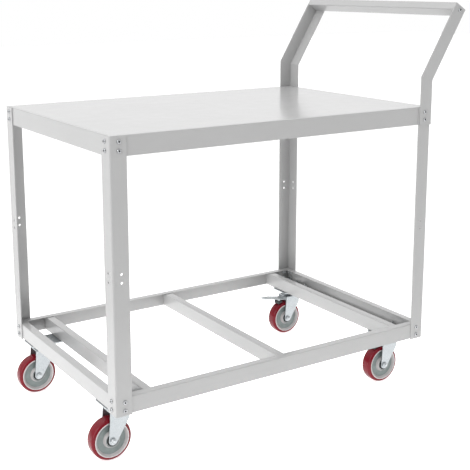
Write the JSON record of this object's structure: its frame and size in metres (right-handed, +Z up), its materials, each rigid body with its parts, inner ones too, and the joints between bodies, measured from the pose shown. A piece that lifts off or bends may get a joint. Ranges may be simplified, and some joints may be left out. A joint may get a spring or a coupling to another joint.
{
  "type": "mobile welding table",
  "caption": "Grey steel welding table on swivel casters, with a folded sheet top, angle legs, an open lower frame and a push handle leaning out at one end.",
  "frame": {"origin": "on the floor, below the middle of the overall box with the casters trailing as stored", "axes": "+X along the table towards the push handle, +Y from the front to the rear, +Z up"},
  "size_m": [1.0608, 0.6262, 1.032],
  "materials": {
    "painted_steel": "gloss",
    "zinc_steel": "satin",
    "bearing_steel": "satin",
    "red_tread": "satin",
    "wheel_core": "satin",
    "brake_rubber": "matte"
  },
  "bodies": {
    "frame": {"table_top": "painted_steel", "leg_front_left": "painted_steel", "leg_front_right": "painted_steel", "leg_rear_left": "painted_steel", "leg_rear_right": "painted_steel", "front_rail": "painted_steel", "rear_rail": "painted_steel", "left_end_rail": "painted_steel", "right_end_rail": "painted_steel", "left_cross_member": "painted_steel", "middle_cross_member": "painted_steel", "right_cross_member": "painted_steel", "handle_upright_front": "painted_steel", "handle_upright_rear": "painted_steel", "handle_bar": "painted_steel", "frame_bolts": "zinc_steel", "frame_nuts": "zinc_steel", "caster_bolts": "zinc_steel", "caster_nuts": "zinc_steel", "caster_plate_front_left": "zinc_steel", "kingpin_front_left": "zinc_steel", "caster_plate_front_right": "zinc_steel", "kingpin_front_right": "zinc_steel", "caster_plate_rear_left": "zinc_steel", "kingpin_rear_left": "zinc_steel", "caster_plate_rear_right": "zinc_steel", "kingpin_rear_right": "zinc_steel"},
    "fork_front_left": {"fork_front_left": "zinc_steel", "swivel_balls_front_left": "bearing_steel", "axle_front_left": "zinc_steel"},
    "wheel_front_left": {"tread_front_left": "red_tread", "wheel_core_front_left": "wheel_core", "wheel_bearings_front_left": "bearing_steel"},
    "fork_front_right": {"fork_front_right": "zinc_steel", "swivel_balls_front_right": "bearing_steel", "axle_front_right": "zinc_steel"},
    "wheel_front_right": {"tread_front_right": "red_tread", "wheel_core_front_right": "wheel_core", "wheel_bearings_front_right": "bearing_steel"},
    "brake_front_right": {"brake_pedal_front_right": "zinc_steel", "brake_shoe_front_right": "brake_rubber"},
    "fork_rear_left": {"fork_rear_left": "zinc_steel", "swivel_balls_rear_left": "bearing_steel", "axle_rear_left": "zinc_steel"},
    "wheel_rear_left": {"tread_rear_left": "red_tread", "wheel_core_rear_left": "wheel_core", "wheel_bearings_rear_left": "bearing_steel"},
    "fork_rear_right": {"fork_rear_right": "zinc_steel", "swivel_balls_rear_right": "bearing_steel", "axle_rear_right": "zinc_steel"},
    "wheel_rear_right": {"tread_rear_right": "red_tread", "wheel_core_rear_right": "wheel_core", "wheel_bearings_rear_right": "bearing_steel"},
    "brake_rear_right": {"brake_pedal_rear_right": "zinc_steel", "brake_shoe_rear_right": "brake_rubber"}
  },
  "joints": [
    {"name": "swivel_front_left", "type": "hinge", "parent": "frame", "child": "fork_front_left", "pos_m": [-0.45141, -0.2248, 0.121], "axis": [0, 0, 1], "continuous": true},
    {"name": "roll_front_left", "type": "hinge", "parent": "fork_front_left", "child": "wheel_front_left", "pos_m": [-0.47941, -0.2248, 0.051], "axis": [0, 1, 0], "continuous": true},
    {"name": "swivel_front_right", "type": "hinge", "parent": "frame", "child": "fork_front_right", "pos_m": [0.3716, -0.2248, 0.121], "axis": [0, 0, 1], "continuous": true},
    {"name": "roll_front_right", "type": "hinge", "parent": "fork_front_right", "child": "wheel_front_right", "pos_m": [0.34359, -0.2248, 0.051], "axis": [0, 1, 0], "continuous": true},
    {"name": "brake_front_right", "type": "hinge", "parent": "fork_front_right", "child": "brake_front_right", "pos_m": [0.34159, -0.2248, 0.112], "axis": [0, -1, 0], "range_deg": [0, 5]},
    {"name": "swivel_rear_left", "type": "hinge", "parent": "frame", "child": "fork_rear_left", "pos_m": [-0.45141, 0.2248, 0.121], "axis": [0, 0, 1], "continuous": true},
    {"name": "roll_rear_left", "type": "hinge", "parent": "fork_rear_left", "child": "wheel_rear_left", "pos_m": [-0.47941, 0.2248, 0.051], "axis": [0, 1, 0], "continuous": true},
    {"name": "swivel_rear_right", "type": "hinge", "parent": "frame", "child": "fork_rear_right", "pos_m": [0.3716, 0.2248, 0.121], "axis": [0, 0, 1], "continuous": true},
    {"name": "roll_rear_right", "type": "hinge", "parent": "fork_rear_right", "child": "wheel_rear_right", "pos_m": [0.34359, 0.2248, 0.051], "axis": [0, 1, 0], "continuous": true},
    {"name": "brake_rear_right", "type": "hinge", "parent": "fork_rear_right", "child": "brake_rear_right", "pos_m": [0.34159, 0.2248, 0.112], "axis": [0, -1, 0], "range_deg": [0, 5]}
  ]
}
